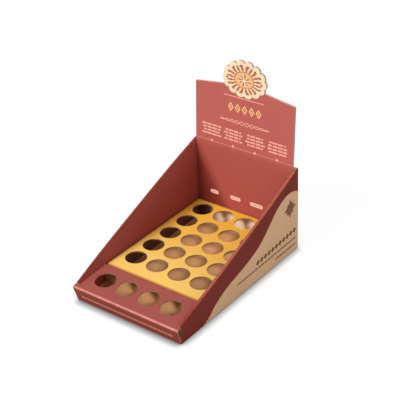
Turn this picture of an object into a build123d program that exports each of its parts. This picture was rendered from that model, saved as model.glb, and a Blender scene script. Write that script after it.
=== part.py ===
from build123d import *
import math
import os

# Counter display tray of printed corrugated board, in millimetres.
# X runs across the tray, Y from the front lip to the back, Z up.
# Everything is laid out with Y = 0 at the front edge of the base. The finished
# pieces are then moved so that the origin is the centre of the base's underside.

# Board
board = 1.6
fold_radius = 2.2
fold_inner_radius = 0.5
lay_gap = 0.3

# Tray: base, rear panel and rolled side walls
tray_width = 160.0
tray_depth = 245.0
rear_panel_height = 117.0
side_front_height = 25.1
side_rear_height = 117.4
wall_fold_radius = 1.3
base_fold_radius = 1.2
rear_fold_radius = 1.2
corner_tab_length = 45.0

# Tray: front lip and the shelf strip behind it
lip_height = 23.1
lip_lean = 7.2
strip_back = 48.5
strip_back_height = 28.1
strip_row_from_fold = 30.0
lip_slit = 0.5

# Lock tabs that hold the rolled walls and the strip's leg in the base
lock_length = 28.0
lock_gap = 0.35
lock_recess = 0.3
side_lock_centres = (85.0, 185.0)
leg_lock_offset = 38.0

# Wells for the bottles
hole_radius = 14.0
columns = 4
rows = 5
column_pitch = 33.7
row_pitch = 34.5
first_row_inset = 31.6
field_shift = -1.5

# Insert: the platform behind the strip
insert_height = 27.2
insert_clearance = 0.4
insert_corner_notch = 2.4

# Header card: back panel, crease and leaning header
card_plies = 2
card_clearance = 0.3
crease_height = 118.0
header_lean = 3.5
header_corner_height = 198.6
header_apex_height = 209.0

# Scalloped topper above the header
topper_centre_height = 215.0
topper_half_width = 33.0
topper_half_height = 26.0
topper_lobes = 14
topper_lobe_radius = 7.2

# Sizes worked out from the ones above
half_width = tray_width / 2
wall = 3 * board
inner_half = half_width - wall
strip_half = inner_half - lay_gap
strip_slope = math.atan2(strip_back_height - lip_height, strip_back + lip_lean)
wall_slope = math.atan2(side_rear_height - side_front_height, tray_depth)
card_back = tray_depth - board - card_clearance
card_front = card_back - card_plies * board
column_places = [field_shift + column_pitch * (i - (columns - 1) / 2) for i in range(columns)]


def section(points):
    """Flat face through (y, z) points."""
    with BuildSketch(Plane.YZ) as sketch:
        with BuildLine():
            Polyline(*points, close=True)
        make_face()
    return sketch.sketch


def prism(points, x_from, x_to):
    """Solid between two X places with the given (y, z) outline."""
    return Pos(x_from, 0, 0) * extrude(section(points), x_to - x_from, dir=(1, 0, 0))


def block(x_from, x_to, y_from, y_to, z_from, z_to):
    """Box between two corners."""
    size = (x_to - x_from, y_to - y_from, z_to - z_from)
    return Pos(x_from, y_from, z_from) * Box(*size, align=(Align.MIN,) * 3)


def wall_top(y):
    """Height of the sloping side wall at a place along the depth."""
    return side_front_height + y * math.tan(wall_slope)


def front_outline(inset):
    """(y, z) corners of the folded front, moved inwards by a board thickness or not."""
    lip_angle = math.atan2(lip_lean, lip_height)
    lip_shift = inset / math.cos(lip_angle)
    strip_drop = inset / math.cos(strip_slope)
    fall = math.tan(strip_slope)
    lean = math.tan(lip_angle)
    # The lip's inner line is y = lip_shift - lean * z and the strip's is z = top + fall * y.
    strip_at_front = lip_height + fall * lip_lean - strip_drop
    corner_y = (lip_shift - lean * strip_at_front) / (1 + lean * fall)
    return [
        (lip_shift - lean * inset, inset),
        (corner_y, strip_at_front + fall * corner_y),
        (strip_back - inset, strip_at_front + fall * (strip_back - inset)),
        (strip_back - inset, inset),
    ]


def rounded_front(points, radius):
    """Face of the folded front with its two upper folds rounded."""
    face = section(points)
    folds = [v for v in face.vertices() if v.Z > lip_height / 2]
    return fillet(folds, radius)


def folded_front():
    """Leaning lip, shelf strip with its row of holes, and the strip's rear leg."""
    outside = rounded_front(front_outline(0), fold_radius)
    inside = rounded_front(front_outline(board), fold_inner_radius)
    band = extrude(outside - inside, half_width, dir=(1, 0, 0), both=True)
    # Beside the side walls the strip and its leg are narrower than the lip.
    under_strip = lip_height - 3 * board
    before_leg = strip_back - 2 * board
    relief = [
        (-lip_slit, under_strip),
        (before_leg, under_strip),
        (before_leg, board),
        (strip_back + board, board),
        (strip_back + board, strip_back_height + board),
        (-lip_slit, strip_back_height + board),
    ]
    for side in (-1, 1):
        x_from, x_to = sorted((side * strip_half, side * (half_width + board)))
        band -= prism(relief, x_from, x_to)
    return band


def strip_holes():
    """Cutters for the row of holes in the shelf strip, square to its face."""
    y = strip_row_from_fold * math.cos(strip_slope) - lip_lean
    z = lip_height + strip_row_from_fold * math.sin(strip_slope)
    tilt = Rot(math.degrees(strip_slope), 0, 0)
    cutter = Cylinder(hole_radius, 4 * board)
    return [Pos(x, y, z) * tilt * cutter for x in column_places]


def side_wall():
    """Right side wall: outer panel, rolled top and inner panel, open at its front end."""
    outline = [
        (0, 0),
        (tray_depth, 0),
        (tray_depth, side_rear_height),
        (0, side_front_height),
    ]
    solid = prism(outline, inner_half, half_width)
    along = (0, math.cos(wall_slope), math.sin(wall_slope))
    rolled = [e for e in solid.edges() if abs(abs(e.tangent_at(0).dot(Vector(*along))) - 1) < 1e-6]
    solid = fillet(rolled, wall_fold_radius)
    drop = board / math.cos(wall_slope)
    tab_front = tray_depth - board - corner_tab_length
    hollow = [
        (-board, board),
        (tab_front, board),
        (tab_front, wall_top(tab_front) - drop),
        (-board, wall_top(-board) - drop),
    ]
    solid -= prism(hollow, inner_half + board, half_width - board)
    # Only the outer panel reaches the back: the rear panel is folded in beside it.
    above = side_rear_height + board
    behind = tray_depth + board
    return solid - block(0, half_width - board, tray_depth - board, behind, -board, above)


def rear_panel():
    """Upright panel between the side walls, rounded where its tabs fold into them."""
    half = half_width - board
    panel = block(-half, half, tray_depth - board, tray_depth, 0, rear_panel_height)
    folds = [e for e in panel.edges().filter_by(Axis.Z) if abs(e.center().Y - tray_depth) < 1e-6]
    return fillet(folds, rear_fold_radius)


def lock_places():
    """Centre, half length along X and half length along Y of each lock tab."""
    across = board / 2
    side_x = inner_half + across
    places = [(s * side_x, y, across, lock_length / 2) for s in (-1, 1) for y in side_lock_centres]
    leg_y = strip_back - across
    places += [(s * leg_lock_offset, leg_y, lock_length / 2, across) for s in (-1, 1)]
    return places


def tray():
    """The folded blank: base, rear panel, rolled side walls, lip and shelf strip."""
    base = block(-half_width, half_width, 0, tray_depth, 0, board)
    right = side_wall()
    body = base + rear_panel() + right + mirror(right, about=Plane.YZ) + folded_front()
    under = [e for e in body.edges() if abs(e.center().Z) < 1e-6]
    side_folds = [e for e in under if abs(abs(e.center().X) - half_width) < 1e-6]
    rear_folds = [e for e in under if abs(e.center().Y - tray_depth) < 1e-6]
    body = fillet(side_folds + rear_folds, base_fold_radius)
    for x, y, half_x, half_y in lock_places():
        slot_x = half_x + lock_gap
        slot_y = half_y + lock_gap
        body -= block(x - slot_x, x + slot_x, y - slot_y, y + slot_y, -board, board)
        body += block(x - half_x, x + half_x, y - half_y, y + half_y, lock_recess, 2 * board)
    for cutter in strip_holes():
        body -= cutter
    return body


def insert():
    """Platform with the grid of wells, folded down into a leg on each side."""
    half = inner_half - insert_clearance
    front = strip_back + insert_clearance
    back = card_front - insert_clearance
    shell = block(-half, half, front, back, board, insert_height)
    top_edges = [e for e in shell.edges() if abs(e.center().Z - insert_height) < 1e-6]
    shell = fillet(top_edges, fold_radius)
    hollow = block(-half + board, half - board, front + board, back - board, 0, insert_height - board)
    ceiling = [e for e in hollow.edges() if abs(e.center().Z - insert_height + board) < 1e-6]
    shell -= fillet(ceiling, fold_inner_radius)
    for x in (-half, half):
        for y in (front, back):
            shell -= Pos(x, y, 0) * Box(
                2 * insert_corner_notch, 2 * insert_corner_notch, 4 * insert_height
            )
    for x in column_places:
        for row in range(rows):
            y = front - insert_clearance + first_row_inset + row * row_pitch
            shell -= Pos(x, y, insert_height) * Cylinder(hole_radius, 4 * board)
    return shell


def header_outline():
    """Front view of the header card: straight sides, shallow peak and scalloped topper."""
    half = inner_half - card_clearance
    with BuildSketch(Plane.XZ) as sketch:
        with BuildLine():
            Polyline(
                (-half, board),
                (half, board),
                (half, header_corner_height),
                (0, header_apex_height),
                (-half, header_corner_height),
                close=True,
            )
        make_face()
        ring_x = topper_half_width - topper_lobe_radius
        ring_z = topper_half_height - topper_lobe_radius
        with Locations((0, topper_centre_height)):
            Ellipse(ring_x, ring_z)
        for lobe in range(topper_lobes):
            turn = 2 * math.pi * (lobe + 0.5) / topper_lobes
            place = (ring_x * math.sin(turn), topper_centre_height + ring_z * math.cos(turn))
            with Locations(place):
                Circle(topper_lobe_radius)
    return sketch.sketch


def header_card():
    """Two-ply card that stands against the rear panel and leans back above its crease."""
    top = topper_centre_height + topper_half_height + 1
    lean = (top - crease_height) * math.tan(math.radians(header_lean))
    side = [
        (card_front, board),
        (card_back, board),
        (card_back, crease_height),
        (card_back + lean, top),
        (card_front + lean, top),
        (card_front, crease_height),
    ]
    half = inner_half - card_clearance
    slab = prism(side, -half, half)
    outline = extrude(header_outline(), 2 * tray_depth, dir=(0, 1, 0), both=True)
    return slab & outline


def main():
    os.makedirs("parts", exist_ok=True)
    to_origin = Pos(0, -tray_depth / 2, 0)
    pieces = {"tray": tray(), "insert": insert(), "header_card": header_card()}
    for name, piece in pieces.items():
        export_step(to_origin * piece, f"parts/{name}.step")


main()
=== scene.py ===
import math

import bmesh
import bpy
from mathutils import Matrix, Vector


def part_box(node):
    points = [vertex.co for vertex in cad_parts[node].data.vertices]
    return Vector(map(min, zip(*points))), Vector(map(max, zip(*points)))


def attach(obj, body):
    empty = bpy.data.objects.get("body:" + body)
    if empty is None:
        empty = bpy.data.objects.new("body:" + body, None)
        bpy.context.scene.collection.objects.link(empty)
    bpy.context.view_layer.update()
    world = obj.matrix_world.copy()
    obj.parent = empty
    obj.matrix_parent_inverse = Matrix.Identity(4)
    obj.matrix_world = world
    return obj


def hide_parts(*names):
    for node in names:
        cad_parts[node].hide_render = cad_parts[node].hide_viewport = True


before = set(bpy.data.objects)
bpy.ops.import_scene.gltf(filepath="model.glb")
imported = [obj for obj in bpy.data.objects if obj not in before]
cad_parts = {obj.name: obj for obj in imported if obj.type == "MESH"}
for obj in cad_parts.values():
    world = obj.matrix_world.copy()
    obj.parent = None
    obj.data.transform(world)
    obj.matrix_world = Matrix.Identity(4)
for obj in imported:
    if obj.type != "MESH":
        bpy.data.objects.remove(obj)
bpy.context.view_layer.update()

# Counter display tray of printed corrugated board: its finishes, the bow of its walls, camera and light.
# Sizes in metres. The origin is the centre of the base's underside, and +Y is the back.
MM = 0.001
tray_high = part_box("tray")[1]
insert_low, insert_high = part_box("insert")
card_low, card_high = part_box("header_card")

# Board, side walls and the folded front.
BOARD = 1.6 * MM
FLUTE_PITCH = 3.2 * MM
HALF_WIDTH = tray_high.x
BACK = tray_high.y
FRONT = -BACK
INNER_HALF = HALF_WIDTH - 3 * BOARD
SIDE_TOP_FRONT = 25.1 * MM
WALL_SLOPE = (tray_high.z - SIDE_TOP_FRONT) / (BACK - FRONT)
BOW = 2.2 * MM
BOW_STEPS = 20
SHARP_FOLD = math.radians(28)
LIP_TOP = 23.1 * MM
LIP_LEAN = 7.2 * MM
STRIP_BACK = FRONT + 48.5 * MM
STRIP_BACK_TOP = 28.1 * MM
STRIP_SLOPE = (STRIP_BACK_TOP - LIP_TOP) / (STRIP_BACK - FRONT + LIP_LEAN)

# Header card and its topper.
CREASE = 118.0 * MM
HEADER_LEAN = math.tan(math.radians(3.5))
TOPPER_CENTRE = 215.0 * MM
TOPPER_HALF_WIDTH = 33.0 * MM
TOPPER_HALF_HEIGHT = 26.0 * MM
TOPPER_LOBES = 14
TOPPER_LOBE_RADIUS = 7.2 * MM

# How close to a surface or an edge a face's centre lies to count as part of it.
NEAR = 0.25 * MM
FOLD_REACH = 1.3 * MM
ROLL_REACH = 1.5 * MM
INNER_REACH = 1.0 * MM
STRIP_REACH = 1.2 * MM
# How far inside the strip's edges a face has to lie to be in one of its holes.
HOLE_MARGIN = 5.0 * MM

# Print on the header card, from the top down.
EDGE_SOFTNESS = 0.15 * MM
PRINT_SHIFT = 1.2 * MM
SUN_RAYS = 20
BADGE_STAR_WAIST = 0.46
RULE_SHIFT = -0.3 * MM
RULE_HEIGHT = 190.8 * MM
RULE_HALF_LENGTH = 30.8 * MM
RULE_HALF_WIDTH = 0.55 * MM
LOZENGE_HEIGHT = 176.0 * MM
LOZENGE_PITCH = 10.6 * MM
LOZENGE_COUNT = 5
FLOURISH_HEIGHT = 157.0 * MM
FLOURISH_HALF_LENGTH = 39.0 * MM
FLOURISH_WAVE = 15.0 * MM
COLUMN_PITCH = 33.7 * MM
TEXT_TOP = 145.6 * MM
TEXT_PITCH = 4.3 * MM
TEXT_LINES = 4
CREASE_LINE = 121.0 * MM
DOT_RADIUS = 1.8 * MM
LABEL_HEIGHT = 44.9 * MM
LABEL_SHIFT = 1.4 * MM
LABEL_HALF_HEIGHT = 2.9 * MM

# Print on the lip, the side panels and the rear panel.
LIP_ROW_HEIGHT = 9.7 * MM
LIP_ROW_HALF_LENGTH = 70.0 * MM
LIP_ROW_HALF_WIDTH = 1.7 * MM
LIP_ROW_WORD = 4.4 * MM
LIP_ROW_SEED = 3.0
STAR_DEPTH = FRONT + 226.0 * MM
STAR_HEIGHT = 68.0 * MM
STAR_RADIUS = 14.0 * MM
STAR_WAIST = 0.58
BAND_DEPTH = FRONT + 195.0 * MM
BAND_HEIGHT = 29.0 * MM
BAND_SLOPE = 0.05
BAND_PITCH = 8.2 * MM
BAND_HALF_LENGTH = 5.5 * BAND_PITCH
# Rows of dashes: depth of the middle from the front, half length, height and seed.
SIDE_ROWS = [(175.0 * MM, 65.0 * MM, 18.9 * MM, 2.0), (216.5 * MM, 23.5 * MM, 10.1 * MM, 4.0)]
REAR_FIELD_TOP = 84.0 * MM
REAR_FIELD_ARCH = 5.0 * MM
# Upper edge of the kraft field on a side panel: depth from the front and height, in millimetres.
SIDE_CURVE = [
    (40, 0), (51.3, 4.8), (63.5, 14.7), (78.3, 23.3), (96.3, 30.1), (117.8, 35.3), (137.5, 41.5),
    (155.1, 49.1), (169.2, 59.0), (181.5, 69.9), (198.3, 83.2), (211.9, 89.0), (224.7, 90.6), (245, 84),
]
SIDE_CURVE_HEIGHT = 100.0 * MM


def wall_top(y):
    """Height of the side walls' sloping top."""
    return SIDE_TOP_FRONT + (y - FRONT) * WALL_SLOPE


def strip_top(y):
    """Height of the shelf strip's upper face."""
    return LIP_TOP + (y - FRONT + LIP_LEAN) * STRIP_SLOPE


def wall_bow(y):
    """How far a side wall's top bows outwards: not at all at its two ends."""
    swell = abs((y - FRONT) / (BACK - FRONT) * 2 - 1)
    return BOW * (1 - swell * swell * swell)


class Wire:
    """An output socket, so that an expression on it adds the nodes that work it out."""

    def __init__(self, maker, socket):
        self.maker = maker
        self.socket = socket

    def _math(self, operation, *values):
        return self.maker.node("ShaderNodeMath", {"operation": operation}, *values)

    def __add__(self, other):
        return self._math("ADD", self, other)

    def __radd__(self, other):
        return self._math("ADD", other, self)

    def __sub__(self, other):
        return self._math("SUBTRACT", self, other)

    def __rsub__(self, other):
        return self._math("SUBTRACT", other, self)

    def __mul__(self, other):
        return self._math("MULTIPLY", self, other)

    def __rmul__(self, other):
        return self._math("MULTIPLY", other, self)

    def __truediv__(self, other):
        return self._math("DIVIDE", self, other)

    def __rtruediv__(self, other):
        return self._math("DIVIDE", other, self)

    def __mod__(self, other):
        return self._math("FLOORED_MODULO", self, other)

    def __abs__(self):
        return self._math("ABSOLUTE", self)

    def sin(self):
        return self._math("SINE", self)

    def cos(self):
        return self._math("COSINE", self)

    def sqrt(self):
        return self._math("SQRT", self)

    def floor(self):
        return self._math("FLOOR", self)

    def either(self, other):
        return self._math("MAXIMUM", self, other)

    def both(self, other):
        return self._math("MINIMUM", self, other)

    def angle_to(self, other):
        return self._math("ARCTAN2", self, other)


class Nodes:
    """A node tree under construction."""

    def __init__(self, tree):
        self.tree = tree

    def put(self, socket, value):
        if isinstance(value, Wire):
            self.tree.links.new(value.socket, socket)
        elif socket.type == "RGBA" and len(value) == 3:
            socket.default_value = (*value, 1.0)
        else:
            socket.default_value = value

    def node(self, kind, settings, *values, output=0, **named):
        """Any node: its type, its settings, then its sockets in order or by name."""
        made = self.tree.nodes.new(kind)
        for key, value in settings.items():
            if key == "curve":
                curve = made.mapping.curves[0]
                curve.points[0].location = value[0]
                curve.points[1].location = value[-1]
                for point in value[1:-1]:
                    curve.points.new(*point)
                made.mapping.update()
            else:
                setattr(made, key, value)
        for socket, value in zip(made.inputs, values):
            self.put(socket, value)
        for key, value in named.items():
            self.put(made.inputs[key.replace("_", " ")], value)
        return Wire(self, made.outputs[output])

    def seen(self):
        """1 for a ray from the camera, a mirror or glass, 0 for one that carries light."""
        kinds = ("Is Camera Ray", "Is Glossy Ray", "Is Transmission Ray")
        camera, glossy, through = (self.node("ShaderNodeLightPath", {}, output=kind) for kind in kinds)
        return camera.either(glossy).either(through)


class Finish(Nodes):
    """One material under construction."""

    def __init__(self, name):
        self.material = bpy.data.materials.new(name)
        self.material.use_nodes = True
        super().__init__(self.material.node_tree)
        self.shader = self.tree.nodes["Principled BSDF"]
        self.place = self.node("ShaderNodeTexCoord", {}, output="Object")
        self.x, self.y, self.z = (
            self.node("ShaderNodeSeparateXYZ", {}, self.place, output=axis) for axis in ("X", "Y", "Z")
        )

    def blend(self, mask, below, above):
        """Colour: below where the mask is 0, above where it is 1. A mask times a share covers thinly."""
        colour = {"data_type": "RGBA"}
        return self.node("ShaderNodeMix", colour, output="Result", Factor=mask, A=below, B=above)

    def shade(self, colour, amount):
        """Colour made lighter or darker by an amount around 1."""
        return self.node("ShaderNodeVectorMath", {"operation": "SCALE"}, colour, Scale=amount)

    def times(self, vector, factors):
        """Vector or colour with each of its three parts times its own factor."""
        return self.node("ShaderNodeVectorMath", {"operation": "MULTIPLY"}, vector, factors)

    def noise(self, scale, stretch=(1, 1, 1), detail=2.0):
        """Smooth noise from 0 to 1, its features drawn out by the stretch."""
        place = self.times(self.place, stretch)
        return self.node("ShaderNodeTexNoise", {}, Vector=place, Scale=scale, Detail=detail)

    def hash(self, *parts):
        """A number from 0 to 1 that jumps from cell to cell."""
        cell = self.node("ShaderNodeCombineXYZ", {}, *parts)
        return self.node("ShaderNodeTexWhiteNoise", {"noise_dimensions": "3D"}, cell)

    def soft_step(self, value, low, high):
        """0 below low, 1 above high."""
        return self.node("ShaderNodeMapRange", {"clamp": True}, value, low, high)

    def inside(self, depth):
        """1 where the depth inside an outline is above zero."""
        return self.soft_step(depth, -EDGE_SOFTNESS, EDGE_SOFTNESS)

    def surface(self, colour, roughness, height, relief):
        """The finished material, its height from 0 to 1 raised by the relief in metres."""
        self.put(self.shader.inputs["Base Color"], colour)
        self.put(self.shader.inputs["Roughness"], roughness)
        bump = self.node("ShaderNodeBump", {}, Strength=1.0, Distance=relief, Height=height)
        self.put(self.shader.inputs["Normal"], bump)
        return self.material


def ink(red, green, blue):
    """Linear colour from the 0 to 255 values of a screen colour."""
    def line(value):
        value /= 255
        return value / 12.92 if value <= 0.04045 else ((value + 0.055) / 1.055) ** 2.4

    return (line(red), line(green), line(blue))


# Bare board.
KRAFT = ink(234, 191, 152)
KRAFT_DARK = ink(217, 172, 132)
KRAFT_FIBRE = ink(150, 104, 68)
KRAFT_SHADOW = ink(104, 66, 36)
CARD_PLY = ink(238, 196, 182)
CARD_GAP = ink(205, 150, 130)
# Grounds.
RED_INK = ink(186, 96, 89)
FRONT_INK = ink(157, 79, 71)
# The card's red below the crease, darkened as painted shade.
PANEL_SHADED_INK = ink(176, 86, 77)
MAROON_INK = ink(119, 42, 31)
INNER_WALL_INK = ink(146, 66, 55)
INNER_TOP_INK = ink(152, 77, 69)
LIP_INK = ink(138, 58, 46)
YELLOW_INK = ink(245, 199, 103)
# The next two are painted shade on the yellow: darker towards the back, and along the edges where it
# tucks in.
YELLOW_BACK_SHADE = ink(238, 180, 62)
YELLOW_SHADE = ink(150, 78, 22)
# Print, wear and painted highlights.
LIP_DASH_INK = ink(206, 132, 106)
CREAM_INK = ink(252, 222, 184)
GOLD_INK = ink(247, 196, 134)
PINK_INK = ink(247, 176, 158)
PEACH_INK = ink(240, 184, 126)
RUST_INK = ink(176, 92, 66)
BROWN_INK = ink(104, 58, 33)
LABEL_INK = ink(255, 202, 180)
FOLD_HIGHLIGHT_AND_WEAR_INK = ink(228, 156, 140)
ROLL_HIGHLIGHT_AND_WEAR_INK = ink(170, 97, 80)
# Tints of painted shade for faces in the shade of their neighbours, and of painted light for the insert's
# rear leg.
INSIDE_FRONT_SHADE_TINT = (0.72, 0.62, 0.46)
INSIDE_SHADE_TINT = (0.93, 0.82, 0.60)
LEG_SHADE_TINT = (0.13, 0.08, 0.05)
REAR_LEG_LIGHT_TINT = (1.2, 1.5, 1.8)
CORNER_SHADOW_TINT = (0.56, 0.43, 0.40)


# Shapes of the print: each gives a depth in metres inside the shape, or a mask from 0 to 1.
def box_depth(across, up, half_length, half_height):
    return (half_length - abs(across)).both(half_height - abs(up))


def disc_depth(across, up, radius):
    return radius - (across * across + up * up).sqrt()


def bar_depth(across, up, half_length, radius):
    """A bar with round ends, its centre at zero."""
    beyond = (abs(across) - (half_length - radius)).either(0.0)
    return radius - (beyond * beyond + up * up).sqrt()


def dash_row(finish, along, off, half_length, half_height, word, seed):
    """Short dashes with uneven gaps between two ends, where a line of type would be."""
    cell = along / word
    index = cell.floor()
    share = cell - index
    gap = 0.02 + finish.hash(index, seed, 0.0) * 0.13
    dash = finish.soft_step(share, gap, gap + 0.05) * finish.soft_step(1 - share, 0.0, 0.05)
    return dash * finish.inside((half_height - abs(off)).both(half_length - abs(along)))


def compass_star(finish, across, up, radius, waist):
    """Eight long and short points: the star's mask, and the mask of each point's darker half."""
    short_tip = 0.7
    spread = (across * across + up * up).sqrt() / radius
    turn = across.angle_to(up) * (8 / (2 * math.pi)) + 0.5
    point = turn.floor()
    within = turn - point - 0.5
    tip = 1 + (point % 2) * (1 / short_tip - 1)
    reach = 1 / (tip + (1 / waist - tip) * abs(within) * 2)
    star = finish.inside((reach - spread) * radius)
    return star, finish.soft_step(within, -0.02, 0.02)


# Sheen and roughness of the print, the bare board and its cut edges.
PRINT_SHEEN = 0.1
PRINT_ROUGHNESS = 0.5
DARK_PRINT_ROUGHNESS = 0.55
BARE_ROUGHNESS = 0.85
CUT_ROUGHNESS = 0.9


# Surfaces of the board. Scales of noise are in features per metre.
def board_grain(finish, along):
    """Fine grain, slow clouding and the faint ridges of the flutes under the liner."""
    grain = finish.noise(900, detail=3.0)
    cloud = finish.noise(16)
    ridges = 0.5 + 0.5 * (along * (2 * math.pi / FLUTE_PITCH)).sin()
    return grain, cloud, ridges


def kraft_liner(finish, along):
    """Bare liner: its colour and the height of its fibres and ridges."""
    grain, cloud, ridges = board_grain(finish, along)
    fibres = finish.noise(420, (1, 0.14, 1), 3.0)
    specks = finish.soft_step(finish.noise(650, (1, 0.3, 1)), 0.63, 0.74)
    tone = 0.9 + grain * 0.07 + fibres * 0.1 + ridges * 0.02
    colour = finish.blend(cloud, KRAFT, KRAFT_DARK)
    colour = finish.blend(specks * 0.35, colour, KRAFT_FIBRE)
    return finish.shade(colour, tone), fibres * 0.5 + ridges * 0.5


def printed(finish, colour, along, roughness=PRINT_ROUGHNESS):
    """Ink over the liner: slightly uneven cover, with the grain and ridges showing through."""
    finish.shader.inputs["Specular IOR Level"].default_value = PRINT_SHEEN
    grain, cloud, ridges = board_grain(finish, along)
    tone = 0.945 + grain * 0.05 + cloud * 0.06 + ridges * 0.015
    height = grain * 0.4 + ridges * 0.6
    return finish.surface(finish.shade(colour, tone), roughness + grain * 0.12, height, 0.05 * MM)


def bare_board(name, direction, tint=(1, 1, 1), shade=None):
    """Bare liner times a tint, painted shade where below 1 and painted light where above; a shade gives
    the axis, the two ends and the tint of painted shade at the first of them.
    """
    finish = Finish(name)
    colour, height = kraft_liner(finish, getattr(finish, direction))
    if shade:
        axis, start, end, shaded = shade
        tint = finish.blend(finish.soft_step(getattr(finish, axis), start, end), shaded, tint)
    return finish.surface(finish.times(colour, tint), BARE_ROUGHNESS, height, 0.07 * MM)


def cut_board(name, depth_of, along_of, ply=KRAFT, gap=KRAFT_SHADOW):
    """A cut edge: liners either side of the wave of the fluted medium, with dark gaps between."""
    finish = Finish(name)
    depth = (depth_of(finish) / BOARD) % 1.0
    wave = 0.5 + 0.34 * (along_of(finish) * (2 * math.pi / FLUTE_PITCH)).sin()
    medium = 1 - finish.soft_step(abs(depth - wave), 0.06, 0.17)
    liner = finish.soft_step(abs(depth - 0.5), 0.33, 0.4)
    paper = liner.either(medium)
    fibres = finish.noise(1200)
    colour = finish.shade(finish.blend(paper, gap, ply), 0.85 + fibres * 0.22)
    return finish.surface(colour, CUT_ROUGHNESS, paper, 0.35 * MM)


def cracks(finish, scale, stretch=(1, 1, 1)):
    """Patches from 0 to 1 where the ink has worn through."""
    return finish.soft_step(finish.noise(scale, stretch), 0.3, 0.62)


def roll_highlight_and_wear(finish, colour):
    """Painted highlight along the inner edge of the wall's rolled top, where the ink also cracks lightly:
    more on the right, whose edge faces the key lamp, and fainter at the front.
    """
    broken = cracks(finish, 300, (1, 0.3, 1))
    at_top = finish.soft_step(finish.z - wall_top(finish.y), -1.5 * MM, -0.5 * MM)
    off_inner_face = abs(finish.x) - INNER_HALF - wall_bow(finish.y)
    inner = 1 - finish.soft_step(off_inner_face, 3.4 * MM, 4.8 * MM)
    lit_right_side = 0.15 + 0.85 * finish.soft_step(finish.x, -1 * MM, 1 * MM)
    fainter_at_front = 0.35 + 0.65 * finish.soft_step(finish.y - FRONT, 25 * MM, 55 * MM)
    return finish.blend(at_top * inner * lit_right_side * fainter_at_front * (0.65 + 0.25 * broken), colour, ROLL_HIGHLIGHT_AND_WEAR_INK)


# Header card.
def badge(finish, ground):
    """The topper's pale badge: scalloped ground, beads, a sunburst and a star on a peach field."""
    bead_radius, shorter_below = 1.7 * MM, 1.14
    ray_middle, ray_half_length, ray_taper = 19.5 * MM, 6.5 * MM, 30 * MM
    field_radius, ring_half_width, star_radius, hub_radius = 14.6 * MM, 0.6 * MM, 14.0 * MM, 2.6 * MM
    across = finish.x
    rise = finish.z - TOPPER_CENTRE
    up = rise.both(rise * shorter_below)
    ring_x = TOPPER_HALF_WIDTH - TOPPER_LOBE_RADIUS
    ring_z = TOPPER_HALF_HEIGHT - TOPPER_LOBE_RADIUS
    wide = across / ring_x
    tall = up / ring_z
    step = 2 * math.pi / TOPPER_LOBES
    lobe = ((wide.angle_to(tall) / step).floor() + 0.5) * step
    lobe_x = across - lobe.sin() * ring_x
    lobe_z = up - lobe.cos() * ring_z
    oval = (1 - (wide * wide + tall * tall).sqrt()) * ring_z
    outline = disc_depth(lobe_x, lobe_z, TOPPER_LOBE_RADIUS).either(oval)
    colour = finish.blend(finish.inside(outline), ground, CREAM_INK)
    bead = finish.inside(disc_depth(lobe_x, lobe_z, bead_radius))
    colour = finish.blend(bead, colour, RUST_INK)
    # The rings inside follow the topper's oval.
    squash = up * (TOPPER_HALF_WIDTH / TOPPER_HALF_HEIGHT)
    spread = (across * across + squash * squash).sqrt()
    ray = abs((across.angle_to(squash) * (SUN_RAYS / (2 * math.pi))) % 1.0 - 0.5)
    half_ray = 0.34 - abs(spread - ray_middle) / ray_taper
    rays = finish.soft_step(half_ray - ray, -0.03, 0.03)
    rays = rays * finish.inside(ray_half_length - abs(spread - ray_middle))
    colour = finish.blend(rays * 0.9, colour, RUST_INK)
    colour = finish.blend(finish.inside(field_radius - spread), colour, PEACH_INK)
    ring = finish.inside(ring_half_width - abs(spread - field_radius))
    colour = finish.blend(ring, colour, RUST_INK)
    star, dark_half = compass_star(finish, across, squash, star_radius, BADGE_STAR_WAIST)
    colour = finish.blend(star, colour, finish.blend(dark_half, CREAM_INK, RUST_INK))
    return finish.blend(finish.inside(hub_radius - spread), colour, CREAM_INK)


def card_ground(finish):
    """Red above the crease and a darker red of painted shade below it, with the left wall's shadow
    painted into the corner.
    """
    shade_top, shade_spread, shade_softness = 116 * MM, 0.55, 9 * MM
    fade = CREASE - 6 * MM
    # The edge of the painted shadow leaves the wall at the top and runs out to the right lower down.
    past_edge = finish.x + INNER_HALF + BOARD - (shade_top - finish.z) * shade_spread
    corner = 1 - finish.soft_step(past_edge, -shade_softness, shade_softness)
    corner = corner * (1 - finish.soft_step(finish.z, fade, CREASE))
    panel = finish.times(PANEL_SHADED_INK, finish.blend(corner, (1, 1, 1), CORNER_SHADOW_TINT))
    return finish.blend(finish.soft_step(finish.z, fade, CREASE + 3 * MM), panel, RED_INK)


def lozenges(finish, along, rise):
    """Row of open lozenges with a bead in each."""
    half_width, half_height, bead_radius = 4.3 * MM, 6.2 * MM, 1.1 * MM
    place = along / LOZENGE_PITCH + LOZENGE_COUNT / 2
    off = (place - place.floor() - 0.5) * LOZENGE_PITCH
    rim = 1 - abs(off) / half_width - abs(rise) / half_height
    line = finish.inside((0.2 - abs(rim - 0.2)) * 4 * MM)
    bead = finish.inside(disc_depth(off, rise, bead_radius))
    return line.either(bead) * finish.inside(LOZENGE_COUNT / 2 * LOZENGE_PITCH - abs(along))


def flourish(finish, along, rise):
    """Two strands that cross, drawn in to a point at both ends."""
    half_swing, half_line = 2.3 * MM, 0.6 * MM
    reach = abs(along) / FLOURISH_HALF_LENGTH
    swing = (1 - reach * reach) * half_swing
    wave = swing * (along * (2 * math.pi / FLOURISH_WAVE)).sin()
    strands = finish.inside(half_line - abs(abs(rise) - abs(wave)))
    return strands * finish.soft_step(1 - reach, 0.0, 0.04)


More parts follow.
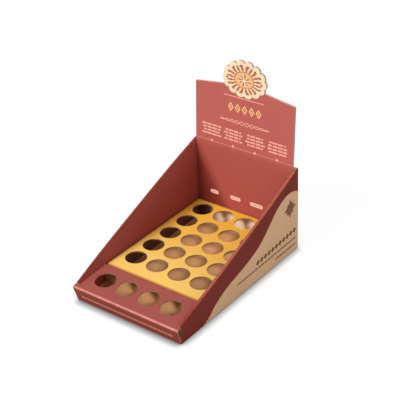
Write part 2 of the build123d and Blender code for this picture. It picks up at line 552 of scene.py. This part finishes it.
def header_columns(finish, along, colour):
    """Over each column of holes a block of dashes, a dot on the crease line and a label."""
    text_half_length, text_ragged, text_half_height, text_word = 11.5 * MM, 4.0 * MM, 1.15 * MM, 8.2 * MM
    line_half_width, dot_rise = 0.4 * MM, 0.8 * MM
    first_label_half, label_growth, label_end = 6.6 * MM, 1.8 * MM, 2.4 * MM
    label_text_half_height, label_word = 0.7 * MM, 4.6 * MM
    z = finish.z
    place = along / COLUMN_PITCH + 2
    column = place.floor()
    off = (place - column - 0.5) * COLUMN_PITCH
    in_columns = finish.inside(2 * COLUMN_PITCH - abs(along))
    row = ((TEXT_TOP - z) / TEXT_PITCH).floor()
    drop = TEXT_TOP - z - (row + 0.5) * TEXT_PITCH
    half_length = text_half_length + text_ragged * finish.hash(column, row, 5.0)
    dashes = dash_row(finish, off, drop, half_length, text_half_height, text_word, column * 7 + row)
    block = finish.inside((TEXT_TOP - z).both(z - TEXT_TOP + TEXT_LINES * TEXT_PITCH))
    colour = finish.blend(dashes * block * in_columns * 0.92, colour, PINK_INK)
    # Painted highlight along the card's crease, with the ink worn pale there too, across the whole width.
    crease_highlight_and_wear = finish.inside(line_half_width - abs(z - CREASE_LINE))
    colour = finish.blend(crease_highlight_and_wear * 0.45, colour, PINK_INK)
    dot = finish.inside(disc_depth(off, z - CREASE_LINE - dot_rise, DOT_RADIUS))
    colour = finish.blend(dot, colour, PINK_INK)
    # The labels grow from left to right.
    label_half = first_label_half + column * label_growth
    off, rise = off - LABEL_SHIFT, z - LABEL_HEIGHT
    label = finish.inside(bar_depth(off, rise, label_half, LABEL_HALF_HEIGHT))
    colour = finish.blend(label * in_columns, colour, LABEL_INK)
    text_half = label_half - label_end
    words = dash_row(finish, off, rise, text_half, label_text_half_height, label_word, column)
    return finish.blend(words * in_columns * 0.45, colour, RED_INK)


def header_print():
    """Front of the card: badge, rule, lozenges, flourish and the columns."""
    finish = Finish("header_print")
    colour = badge(finish, card_ground(finish))
    rule = box_depth(finish.x - RULE_SHIFT, finish.z - RULE_HEIGHT, RULE_HALF_LENGTH, RULE_HALF_WIDTH)
    colour = finish.blend(finish.inside(rule) * 0.9, colour, PINK_INK)
    along = finish.x - PRINT_SHIFT
    colour = finish.blend(lozenges(finish, along, finish.z - LOZENGE_HEIGHT), colour, GOLD_INK)
    colour = finish.blend(flourish(finish, along, finish.z - FLOURISH_HEIGHT) * 0.85, colour, PINK_INK)
    return printed(finish, header_columns(finish, along, colour), finish.x)


def card_depth(finish):
    """Depth into the card from its front face, which leans back above the crease."""
    lean = (finish.z - CREASE).either(0.0) * HEADER_LEAN
    return finish.y - card_low.y - lean


# Tray and insert.
def strip_depth(finish):
    """Depth into the shelf strip from its upper face."""
    return strip_top(finish.y) - finish.z


def front_print():
    """Lip, its rounded fold and the shelf strip, in one piece of print."""
    finish = Finish("front_print")
    x, y, z = finish.x, finish.y, finish.z
    on_lip = finish.soft_step(strip_depth(finish), 0.8 * MM, 1.4 * MM)
    off = z - LIP_ROW_HEIGHT
    dashes = dash_row(finish, x, off, LIP_ROW_HALF_LENGTH, LIP_ROW_HALF_WIDTH, LIP_ROW_WORD, LIP_ROW_SEED)
    lip = finish.blend(dashes * 0.9, LIP_INK, LIP_DASH_INK)
    colour = finish.blend(on_lip, FRONT_INK, lip)
    # Painted highlight along the rounded fold, where the ink is also rubbed pale.
    off_fold = (y - FRONT + LIP_LEAN) + (LIP_TOP - z)
    wear_and_highlight = (1 - finish.soft_step(off_fold, 1.6 * MM, 3.0 * MM)) * (0.6 + 0.4 * cracks(finish, 260))
    colour = finish.blend(wear_and_highlight * 0.85, colour, FOLD_HIGHLIGHT_AND_WEAR_INK)
    return printed(finish, colour, x)


def side_artwork(finish, colour):
    """A star, and a band of lozenges over two thin rows of dashes."""
    y, z = finish.y, finish.z
    half_height, dash_half_height, word = 4.1 * MM, 1.25 * MM, 7 * MM
    along = y - BAND_DEPTH
    rise = z - BAND_HEIGHT - along * BAND_SLOPE
    off = abs((along / BAND_PITCH + 0.5) % 1.0 - 0.5) * BAND_PITCH
    band = finish.inside((half_height - abs(rise) - off).both(BAND_HALF_LENGTH - abs(along)))
    colour = finish.blend(band * 0.95, colour, BROWN_INK)
    for centre, half_length, height, seed in SIDE_ROWS:
        row = dash_row(finish, y - FRONT - centre, z - height, half_length, dash_half_height, word, seed)
        colour = finish.blend(row * 0.85, colour, BROWN_INK)
    star, dark_half = compass_star(finish, y - STAR_DEPTH, z - STAR_HEIGHT, STAR_RADIUS, STAR_WAIST)
    return finish.blend(star * (0.72 + 0.25 * dark_half), colour, BROWN_INK)


def side_print():
    """Outer side panel: maroon above a kraft field with a flowing upper edge."""
    finish = Finish("side_print")
    depth = finish.y - FRONT
    field_front, field_back = SIDE_CURVE[0][0] * MM, SIDE_CURVE[-1][0] * MM
    curve = [(at * MM / field_back, height * MM / SIDE_CURVE_HEIGHT) for at, height in SIDE_CURVE]
    edge = finish.node("ShaderNodeFloatCurve", {"curve": curve}, 1.0, depth / field_back)
    field = finish.inside(edge * SIDE_CURVE_HEIGHT - finish.z) * finish.inside(depth - field_front)
    bare = side_artwork(finish, kraft_liner(finish, finish.y)[0])
    colour = roll_highlight_and_wear(finish, finish.blend(field, MAROON_INK, bare))
    return printed(finish, colour, finish.y, DARK_PRINT_ROUGHNESS)


def inner_wall_print():
    """Inner side panel, a little greyer towards its top."""
    finish = Finish("inner_wall_print")
    under_top = finish.soft_step(wall_top(finish.y) - finish.z, 2 * MM, 36 * MM)
    wall = finish.blend(under_top, INNER_TOP_INK, INNER_WALL_INK)
    return printed(finish, roll_highlight_and_wear(finish, wall), finish.y, DARK_PRINT_ROUGHNESS)


def rear_print():
    """Back of the rear panel: the kraft field runs round from the sides."""
    finish = Finish("rear_print")
    across = finish.x / HALF_WIDTH
    arch = REAR_FIELD_ARCH * (1 - across * across)
    field = finish.inside(REAR_FIELD_TOP + arch - finish.z)
    colour = finish.blend(field, MAROON_INK, kraft_liner(finish, finish.x)[0])
    return printed(finish, colour, finish.x, DARK_PRINT_ROUGHNESS)


def insert_print():
    """Yellow top with painted shade: darker towards the back, and in the shade of the pieces around it
    where it tucks in along its edges.
    """
    finish = Finish("insert_print")
    to_side = insert_high.x - abs(finish.x)
    to_end = (insert_high.y - finish.y).both(finish.y - STRIP_BACK)
    clear = finish.soft_step(to_side.both(to_end), 0.4 * MM, 4.0 * MM)
    toward_back_shade = finish.soft_step(finish.y, FRONT + 90 * MM, FRONT + 210 * MM)
    top = finish.blend(toward_back_shade, YELLOW_INK, YELLOW_BACK_SHADE)
    return printed(finish, finish.blend(clear, YELLOW_SHADE, top), finish.y)


def give(node, choose, finishes):
    """Puts the finishes on a node of the frame and sorts its faces among them by name."""
    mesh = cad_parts[node].data
    mesh.materials.clear()
    order = {}
    for name, material in finishes.items():
        order[name] = len(order)
        mesh.materials.append(material)
    for polygon in mesh.polygons:
        polygon.material_index = order[choose(polygon.center, polygon.normal)]


def in_strip_hole(place, normal):
    """Whether a face belongs to the edge of one of the strip's holes."""
    off_fold = place.y - FRONT + LIP_LEAN
    clear = off_fold > HOLE_MARGIN and STRIP_BACK - place.y > HOLE_MARGIN
    clear = clear and abs(place.x) < INNER_HALF - HOLE_MARGIN
    middle = strip_top(place.y) - BOARD / 2
    return clear and abs(place.z - middle) < BOARD and abs(normal.z) < 0.5


# The next three choose a face's finish by name, from the face's centre and normal.
def tray_finish(place, normal):
    outward = normal.x if place.x > 0 else -normal.x
    off_side = HALF_WIDTH - abs(place.x)
    under_top = wall_top(place.y) - place.z
    on_wall = abs(place.x) > INNER_HALF - NEAR
    behind_front = place.y > FRONT + NEAR
    if in_strip_hole(place, normal):
        return "hole edge"
    if normal.y > 0.3 and place.y > BACK - FOLD_REACH:
        return "rear"
    if off_side < FOLD_REACH and outward > 0.3 and behind_front:
        return "side"
    if on_wall and behind_front and normal.z > 0.2 and under_top < ROLL_REACH:
        return "side"
    if abs(abs(place.x) - INNER_HALF) < INNER_REACH and outward < -0.3 and place.z > BOARD:
        return "inner wall"
    if normal.y < -0.4 and not behind_front and place.z < LIP_TOP and abs(normal.x) < 0.3:
        return "cut wall" if on_wall and place.y > FRONT - NEAR else "front"
    if place.y < STRIP_BACK + NEAR and place.z > LIP_TOP - STRIP_REACH and normal.z > 0.2:
        return "front"
    if abs(normal.x) > 0.9 and place.y < STRIP_BACK and place.z > BOARD:
        return "cut front"
    if normal.y < -0.9 and abs(place.x) > INNER_HALF and abs(place.y - FRONT) < NEAR:
        return "cut wall"
    return "underside" if normal.z < -0.5 and place.z < NEAR else "kraft"


def insert_finish(place, normal):
    in_ply = 0.9 * BOARD
    amid = abs(place.x) < insert_high.x - BOARD and insert_low.y + BOARD < place.y < insert_high.y - BOARD
    if abs(normal.z) < 0.5 and place.z > insert_high.z - in_ply and amid:
        return "hole edge"
    outer = (
        abs(place.x) > insert_high.x - in_ply
        or place.y < insert_low.y + in_ply
        or place.y > insert_high.y - in_ply
    )
    if normal.z > 0.3 or (outer and -0.1 < normal.z < 0.9):
        return "yellow"
    if abs(normal.x) > 0.5 and abs(place.x) > insert_high.x - 2 * BOARD:
        return "leg"
    return "rear leg" if normal.y < -0.5 and place.y > insert_high.y - 2 * BOARD else "kraft"


def card_finish(place, normal):
    if abs(normal.y) > 0.7:
        return "front" if normal.y < 0 else "back"
    return "side edge" if abs(place.x) > card_high.x - NEAR else "top edge"


# Painted shade and light: the inside is painted darker under the front rows and lighter behind them, the
# insert's side legs near black, and its rear leg lighter than bare board but dark in its left corner.
inside_shade = ("y", FRONT + 110 * MM, FRONT + 175 * MM, INSIDE_FRONT_SHADE_TINT)
rear_leg_shade = ("x", -56 * MM, -40 * MM, LEG_SHADE_TINT)
kraft_inside_painted_shade = bare_board("kraft_inside_painted_shade", "x", INSIDE_SHADE_TINT, inside_shade)
give("tray", tray_finish, {
    "underside": bare_board("kraft_underside", "x"),
    "kraft": kraft_inside_painted_shade,
    "front": front_print(),
    "side": side_print(),
    "inner wall": inner_wall_print(),
    "rear": rear_print(),
    "hole edge": cut_board("strip_hole_edge", strip_depth, lambda finish: finish.x + finish.y),
    "cut front": cut_board("strip_side_edge", strip_depth, lambda finish: finish.y),
    "cut wall": cut_board(
        "wall_end_edge", lambda finish: HALF_WIDTH - abs(finish.x), lambda finish: finish.z
    ),
})
give("insert", insert_finish, {
    "kraft": kraft_inside_painted_shade,
    # The insert's side legs are painted near black as shade.
    "leg": bare_board("kraft_leg_painted_shade", "y", LEG_SHADE_TINT),
    # The rear leg is painted lighter than bare board, and dark as shade at its left end.
    "rear leg": bare_board("kraft_rear_leg_painted_light_and_shade", "x", REAR_LEG_LIGHT_TINT, rear_leg_shade),
    "yellow": insert_print(),
    "hole edge": cut_board(
        "insert_hole_edge", lambda finish: insert_high.z - finish.z, lambda finish: finish.x + finish.y
    ),
})
give("header_card", card_finish, {
    "front": header_print(),
    "back": bare_board("kraft_back", "x"),
    "side edge": cut_board("card_side_edge", card_depth, lambda finish: finish.z, CARD_PLY, CARD_GAP),
    "top edge": cut_board("card_top_edge", card_depth, lambda finish: finish.x, CARD_PLY, CARD_GAP),
})


def add_object(name, data):
    made = bpy.data.objects.new(name, data)
    bpy.context.scene.collection.objects.link(made)
    return made


def cut_across(bent, place, normal):
    """New edges through the whole mesh where a plane meets it."""
    everything = bent.verts[:] + bent.edges[:] + bent.faces[:]
    bmesh.ops.bisect_plane(bent, geom=everything, dist=0.001 * MM, plane_co=place, plane_no=normal)


def bowed_tray():
    """The tray with the tops of its side walls bowed outwards, as board under tension stands."""
    slack, least_rise = 0.1 * MM, 3 * MM
    bent = bmesh.new()
    bent.from_mesh(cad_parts["tray"].data)
    for step in range(1, BOW_STEPS):
        cut_across(bent, (0, FRONT + (BACK - FRONT) * step / BOW_STEPS, 0), (0, 1, 0))
    cut_across(bent, (0, 0, STRIP_BACK_TOP), (0, 0, 1))
    for corner in bent.verts:
        x, y, z = corner.co
        if abs(x) < INNER_HALF - slack or not FRONT < y < BACK:
            continue
        # The outer panel leans out from the base, the inner one from the height of the strip.
        top = wall_top(y)
        outer = min(1.0, z / top)
        inner = min(1.0, max(0.0, (z - STRIP_BACK_TOP) / max(top - STRIP_BACK_TOP, least_rise)))
        depth = min(1.0, max(0.0, (abs(x) - INNER_HALF) / (HALF_WIDTH - INNER_HALF)))
        corner.co.x += math.copysign(wall_bow(y) * (inner + (outer - inner) * depth), x)
    mesh = bpy.data.meshes.new("tray_board")
    bent.to_mesh(mesh)
    bent.free()
    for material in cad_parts["tray"].data.materials:
        mesh.materials.append(material)
    mesh.shade_smooth()
    mesh.set_sharp_from_angle(angle=SHARP_FOLD)
    return add_object("tray_board", mesh)


tray_board = bowed_tray()
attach(tray_board, "root")
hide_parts("tray")

# Camera, as the photograph was taken.
IMAGE = 400
FOCAL_PIXELS = 1132.0
SENSOR = 36.0
CAMERA_TURN = math.radians(38.4)
CAMERA_RISE = math.radians(30.68)
CAMERA_ROLL = math.radians(-2.64)
CAMERA_REACH = 1.3754
CAMERA_TARGET = Vector((0.0084, FRONT + 0.1367, 0.1015))


def add_camera():
    flat = math.cos(CAMERA_RISE)
    back = Vector((math.sin(CAMERA_TURN) * flat, -math.cos(CAMERA_TURN) * flat, math.sin(CAMERA_RISE)))
    level_right = (-back).cross(Vector((0, 0, 1))).normalized()
    level_up = level_right.cross(-back)
    right = level_right * math.cos(CAMERA_ROLL) + level_up * math.sin(CAMERA_ROLL)
    up = level_up * math.cos(CAMERA_ROLL) - level_right * math.sin(CAMERA_ROLL)
    data = bpy.data.cameras.new("camera")
    data.sensor_width = SENSOR
    data.lens = FOCAL_PIXELS / IMAGE * SENSOR
    camera = add_object("camera", data)
    place = Matrix.Translation(CAMERA_TARGET + back * CAMERA_REACH)
    camera.matrix_world = place @ Matrix((right, up, back)).transposed().to_4x4()
    bpy.context.scene.camera = camera


# Lamps: name, direction towards it, strength and spread in degrees. The room lights the object weakly.
LAMPS = [
    ("key_lamp", (-0.38, -1.05, 1.05), 2.8, 24),
    ("fill_lamp", (1.0, -0.25, 0.45), 1.2, 60),
    ("back_lamp", (-0.35, 1.0, 0.5), 1.0, 50),
]
ROOM_LIGHT = 0.22
FLOOR_HALF = 6.0
FLOOR_GREY = (0.35, 0.35, 0.35)
SWEEP_GREY = (0.12, 0.12, 0.12)
GLOW_GREY = (0.92, 0.92, 0.92)


def add_lamp(name, towards, strength, spread):
    data = bpy.data.lights.new(name, "SUN")
    data.energy = strength
    data.angle = math.radians(spread)
    lamp = add_object(name, data)
    lamp.location = Vector(towards).normalized() * 2
    lamp.rotation_mode = "QUATERNION"
    lamp.rotation_quaternion = Vector(towards).to_track_quat("Z", "Y")


def white_room():
    """The world: a weak light on the object, white where it is seen or mirrored."""
    world = bpy.data.worlds.new("room")
    world.use_nodes = True
    room = Nodes(world.node_tree)
    level = room.node("ShaderNodeMapRange", {}, room.seen(), To_Min=ROOM_LIGHT, To_Max=1.0)
    background = world.node_tree.nodes["Background"]
    room.put(background.inputs["Color"], (1, 1, 1))
    room.put(background.inputs["Strength"], level)
    bpy.context.scene.world = world


def floor_finish():
    """A pale floor that is seen as a white sweep with a soft shadow close to the object."""
    finish = Finish("floor")
    finish.shader.inputs["Base Color"].default_value = (*FLOOR_GREY, 1)
    finish.shader.inputs["Roughness"].default_value = 0.9
    real = Wire(finish, finish.shader.outputs[0])
    open_sky = finish.node("ShaderNodeAmbientOcclusion", {"samples": 16}, output="AO", Distance=14 * MM)
    glow_colour = finish.shade(GLOW_GREY, finish.soft_step(open_sky, 0.3, 0.92))
    glow = finish.node("ShaderNodeEmission", {}, glow_colour, 1.0)
    sweep = finish.node("ShaderNodeBsdfDiffuse", {}, SWEEP_GREY)
    shown = finish.node("ShaderNodeAddShader", {}, glow, sweep)
    mixed = finish.node("ShaderNodeMixShader", {}, finish.seen(), real, shown)
    finish.put(finish.tree.nodes["Material Output"].inputs["Surface"], mixed)
    return finish.material


def add_floor():
    mesh = bpy.data.meshes.new("floor")
    corners = [(-1, -1), (1, -1), (1, 1), (-1, 1)]
    mesh.from_pydata([(x * FLOOR_HALF, y * FLOOR_HALF, 0) for x, y in corners], [], [(0, 1, 2, 3)])
    mesh.materials.append(floor_finish())
    return add_object("floor", mesh)


add_camera()
for lamp_values in LAMPS:
    add_lamp(*lamp_values)
white_room()
floor = add_floor()

bpy.context.scene.view_settings.view_transform = "Standard"
